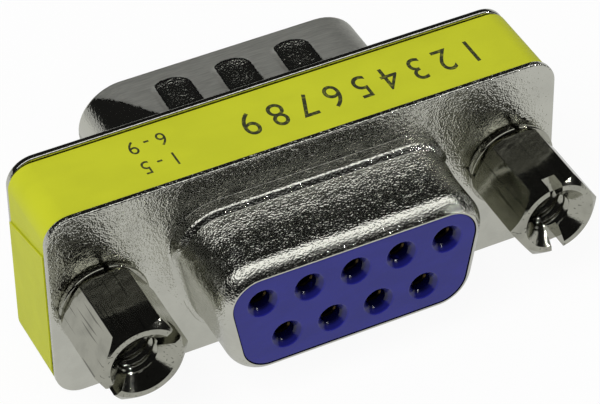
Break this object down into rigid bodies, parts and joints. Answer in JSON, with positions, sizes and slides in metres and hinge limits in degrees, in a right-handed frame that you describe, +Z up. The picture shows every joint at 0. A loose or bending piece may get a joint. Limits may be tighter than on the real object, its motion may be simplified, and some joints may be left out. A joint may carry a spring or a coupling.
{
  "type": "d-sub adapter",
  "caption": "Slim D-sub adapter that joins a socket connector to a pin connector, with drawn metal shells, moulded insulators and slotted hex jack sockets.",
  "frame": {"origin": "on the surface the adapter stands on, under the middle of its bounding box", "axes": "+X along the long side, to the right when looking at the socket side; +Y from the socket side to the pin side; +Z up, the wide row of contacts being the upper one"},
  "size_m": [0.0308, 0.017, 0.0125],
  "materials": {
    "nickel_steel": "bright nickel plate over drawn steel, finely pebbled",
    "nickel_brass": "bright nickel plate over turned brass",
    "blue_moulding": "fine satin moulding",
    "black_moulding": "plain moulding, hidden under the label",
    "label_film": "satin yellow-green adhesive film",
    "gold_contact": "thin gold plate over turned brass"
  },
  "bodies": {
    "root": {"female_shell": "nickel_steel", "male_shell": "nickel_steel", "female_insulator": "blue_moulding", "male_insulator": "blue_moulding", "spacer_frame": "black_moulding", "label": "label_film", "clinch_bush_left": "nickel_brass", "clinch_bush_right": "nickel_brass", "jack_socket_left": "nickel_brass", "jack_socket_right": "nickel_brass", "contact_1": "gold_contact", "contact_2": "gold_contact", "contact_3": "gold_contact", "contact_4": "gold_contact", "contact_5": "gold_contact", "contact_6": "gold_contact", "contact_7": "gold_contact", "contact_8": "gold_contact", "contact_9": "gold_contact"}
  },
  "joints": []
}
